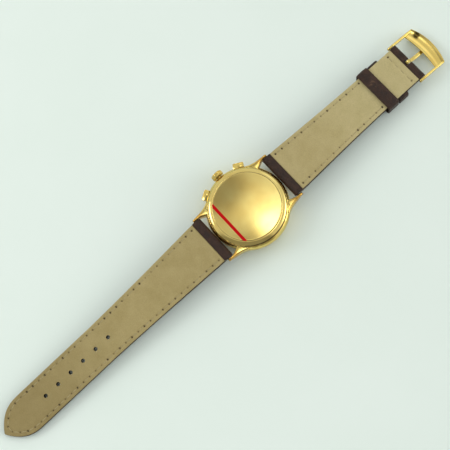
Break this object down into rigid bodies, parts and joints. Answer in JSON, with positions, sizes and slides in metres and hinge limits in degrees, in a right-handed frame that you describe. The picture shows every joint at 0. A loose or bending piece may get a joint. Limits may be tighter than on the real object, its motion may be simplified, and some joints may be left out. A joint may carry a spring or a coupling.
{
  "type": "chronograph wristwatch",
  "caption": "Mechanical chronograph wristwatch with a round gold-plated case, fluted crown, rectangular pushers and a two-piece leather strap with keepers and a pin buckle, lying face down.",
  "frame": {"origin": "on the case axis, at the flat outer face of the crystal that rests on the table", "axes": "+Z out of the case back, +Y towards the 12 o'clock lugs and the buckle, the crown at -X"},
  "size_m": [0.037, 0.2361, 0.0105],
  "materials": {
    "gold": "gold-plated, polished",
    "steel": "fine brushed",
    "blued_steel": "heat-blued steel",
    "movement_brass": "satin brass",
    "crystal": "clear polished",
    "gasket": "matt",
    "dial": "matt cream lacquer",
    "red_film": "glossy red line of a protective film",
    "leather": "dark brown grain leather",
    "lining": "khaki-beige lining leather, matt"
  },
  "bodies": {
    "case": {"case_middle": "gold", "bezel": "gold", "crystal": "crystal", "crystal_gasket": "gasket", "flange_ring": "steel", "case_back": "gold", "back_gasket": "gasket", "back_film_stripe": "red_film", "case_tubes": "gold", "movement_ring": "steel", "dial": "dial", "hour_markers": "gold", "main_plate": "steel", "train_bridge": "steel", "balance_cock": "steel", "chronograph_bridge": "steel", "movement_screws": "blued_steel", "spring_bars": "steel", "hairspring": "blued_steel"},
    "stem_carriage": {"setting_lever": "steel"},
    "crown": {"crown": "gold", "winding_stem": "steel"},
    "winding_pinion": {"winding_pinion": "steel"},
    "crown_wheel": {"crown_wheel": "steel"},
    "transmission_wheel": {"transmission_wheel": "steel"},
    "ratchet": {"ratchet_wheel": "steel", "barrel_arbor": "steel"},
    "barrel": {"barrel": "movement_brass", "mainspring": "blued_steel"},
    "center_wheel": {"center_wheel": "movement_brass"},
    "third_wheel": {"third_wheel": "movement_brass"},
    "small_seconds": {"fourth_wheel": "movement_brass", "small_seconds_hand": "gold"},
    "escape_wheel": {"escape_wheel": "movement_brass"},
    "pallet_fork": {"pallet_fork": "steel"},
    "balance": {"balance_wheel": "movement_brass"},
    "minute": {"cannon_pinion": "steel", "minute_hand": "gold"},
    "minute_wheel": {"minute_wheel": "movement_brass"},
    "hour": {"hour_wheel": "movement_brass", "hour_hand": "gold"},
    "chronograph": {"chronograph_wheel": "movement_brass", "chrono_seconds_hand": "gold"},
    "minute_counter": {"minute_counter_wheel": "movement_brass", "minute_counter_hand": "gold"},
    "column_wheel": {"column_wheel": "blued_steel"},
    "operating_lever": {"operating_lever": "steel"},
    "reset_hammer": {"reset_hammer": "steel"},
    "start_pusher": {"start_pusher": "gold"},
    "reset_pusher": {"reset_pusher": "gold"},
    "long_strap": {"long_strap": "leather", "long_strap_lining": "lining"},
    "short_strap": {"short_strap": "leather", "short_strap_lining": "lining", "fixed_keeper": "leather"},
    "free_keeper": {"free_keeper": "leather"},
    "buckle": {"buckle_frame": "gold", "buckle_bar": "steel"},
    "tongue": {"buckle_tongue": "gold"}
  },
  "joints": [
    {"name": "long_strap_hinge", "type": "hinge", "parent": "case", "child": "long_strap", "pos_m": [0, -0.01895, 0.0072], "axis": [-1, 0, 0], "range_deg": [0, 85]},
    {"name": "short_strap_hinge", "type": "hinge", "parent": "case", "child": "short_strap", "pos_m": [0, 0.01895, 0.0072], "axis": [1, 0, 0], "range_deg": [0, 85]},
    {"name": "free_keeper_slide", "type": "slide", "parent": "short_strap", "child": "free_keeper", "axis": [0, -0.9991, 0.0425], "range_m": [0, 0.012]},
    {"name": "buckle_hinge", "type": "hinge", "parent": "short_strap", "child": "buckle", "pos_m": [0, 0.08869, 0.00423], "axis": [1, 0, 0], "range_deg": [0, 85]},
    {"name": "tongue_hinge", "type": "hinge", "parent": "buckle", "child": "tongue", "pos_m": [0, 0.08869, 0.00423], "axis": [-1, 0, 0], "range_deg": [0, 70]},
    {"name": "crown_pull", "type": "slide", "parent": "case", "child": "stem_carriage", "axis": [-1, 0, 0], "range_m": [0, 0.001]},
    {"name": "crown_turn", "type": "hinge", "parent": "stem_carriage", "child": "crown", "pos_m": [-0.01725, 0, 0.006], "axis": [1, 0, 0], "continuous": true},
    {"name": "winding_pinion_turn", "type": "hinge", "parent": "case", "child": "winding_pinion", "pos_m": [-0.01088, 0, 0.006], "axis": [1, 0, 0], "continuous": true},
    {"name": "crown_wheel_turn", "type": "hinge", "parent": "case", "child": "crown_wheel", "pos_m": [-0.00875, 0, 0.00725], "axis": [0, 0, 1], "continuous": true},
    {"name": "transmission_wheel_turn", "type": "hinge", "parent": "case", "child": "transmission_wheel", "pos_m": [-0.00671, -0.0025, 0.00725], "axis": [0, 0, 1], "continuous": true},
    {"name": "ratchet_turn", "type": "hinge", "parent": "case", "child": "ratchet", "pos_m": [-0.00293, -0.00507, 0.00725], "axis": [0, 0, 1], "continuous": true},
    {"name": "start_pusher_press", "type": "slide", "parent": "case", "child": "start_pusher", "axis": [0.866, -0.5, 0], "range_m": [0, 0.0008], "stiffness_N_per_m": 600},
    {"name": "reset_pusher_press", "type": "slide", "parent": "case", "child": "reset_pusher", "axis": [0.866, 0.5, 0], "range_m": [0, 0.0008], "stiffness_N_per_m": 600},
    {"name": "operating_lever_turn", "type": "hinge", "parent": "case", "child": "operating_lever", "pos_m": [-0.00631, 0.00901, 0.0078], "axis": [0, 0, 1], "range_deg": [0, 9.86]},
    {"name": "reset_hammer_turn", "type": "hinge", "parent": "case", "child": "reset_hammer", "pos_m": [-0.00631, -0.00901, 0.0078], "axis": [0, 0, 1], "range_deg": [-9.86, 0]},
    {"name": "column_wheel_turn", "type": "hinge", "parent": "case", "child": "column_wheel", "pos_m": [-0.0025, 0.0085, 0.0078], "axis": [0, 0, 1], "continuous": true},
    {"name": "minute_hand_turn", "type": "hinge", "parent": "case", "child": "minute", "pos_m": [0, 0, 0.0033], "axis": [0, 0, 1], "continuous": true},
    {"name": "minute_wheel_turn", "type": "hinge", "parent": "case", "child": "minute_wheel", "pos_m": [0, 0.0036, 0.0045], "axis": [0, 0, 1], "continuous": true},
    {"name": "hour_hand_turn", "type": "hinge", "parent": "case", "child": "hour", "pos_m": [0, 0, 0.0033], "axis": [0, 0, 1], "continuous": true},
    {"name": "small_seconds_turn", "type": "hinge", "parent": "case", "child": "small_seconds", "pos_m": [0.0066, 0, 0.0057], "axis": [0, 0, 1], "continuous": true},
    {"name": "third_wheel_turn", "type": "hinge", "parent": "case", "child": "third_wheel", "pos_m": [0.00373, 0.00252, 0.0057], "axis": [0, 0, 1], "continuous": true},
    {"name": "center_wheel_turn", "type": "hinge", "parent": "case", "child": "center_wheel", "pos_m": [0, 0, 0.0057], "axis": [0, 0, 1], "continuous": true},
    {"name": "barrel_turn", "type": "hinge", "parent": "case", "child": "barrel", "pos_m": [-0.00293, -0.00507, 0.0057], "axis": [0, 0, 1], "continuous": true},
    {"name": "escape_wheel_turn", "type": "hinge", "parent": "case", "child": "escape_wheel", "pos_m": [0.00836, -0.00305, 0.0057], "axis": [0, 0, 1], "continuous": true},
    {"name": "pallet_rock", "type": "hinge", "parent": "case", "child": "pallet_fork", "pos_m": [0.00701, -0.00537, 0.0057], "axis": [0, 0, 1], "range_deg": [-5, 5]},
    {"name": "balance_swing", "type": "hinge", "parent": "case", "child": "balance", "pos_m": [0.0056, -0.0078, 0.0057], "axis": [0, 0, 1], "range_deg": [-135, 135]},
    {"name": "chrono_seconds_turn", "type": "hinge", "parent": "case", "child": "chronograph", "pos_m": [0, 0, 0.0078], "axis": [0, 0, 1], "continuous": true},
    {"name": "minute_counter_turn", "type": "hinge", "parent": "case", "child": "minute_counter", "pos_m": [-0.0066, 0, 0.0078], "axis": [0, 0, 1], "continuous": true}
  ],
  "couplings": [
    {"joint": "winding_pinion_turn", "follows": "crown_turn", "ratio": 1},
    {"joint": "crown_wheel_turn", "follows": "crown_turn", "ratio": 0.54545},
    {"joint": "transmission_wheel_turn", "follows": "crown_turn", "ratio": -0.57143},
    {"joint": "ratchet_turn", "follows": "crown_turn", "ratio": 0.3},
    {"joint": "operating_lever_turn", "follows": "start_pusher_press", "rad_per_m": 215.11},
    {"joint": "reset_hammer_turn", "follows": "reset_pusher_press", "rad_per_m": -215.11},
    {"joint": "minute_wheel_turn", "follows": "minute_hand_turn", "ratio": -0.33333},
    {"joint": "hour_hand_turn", "follows": "minute_hand_turn", "ratio": 0.083333},
    {"joint": "third_wheel_turn", "follows": "small_seconds_turn", "ratio": -0.13333},
    {"joint": "center_wheel_turn", "follows": "small_seconds_turn", "ratio": 0.016667},
    {"joint": "barrel_turn", "follows": "small_seconds_turn", "ratio": -0.0025641},
    {"joint": "escape_wheel_turn", "follows": "small_seconds_turn", "ratio": -10},
    {"joint": "minute_counter_turn", "follows": "chrono_seconds_turn", "ratio": 0.033333}
  ]
}
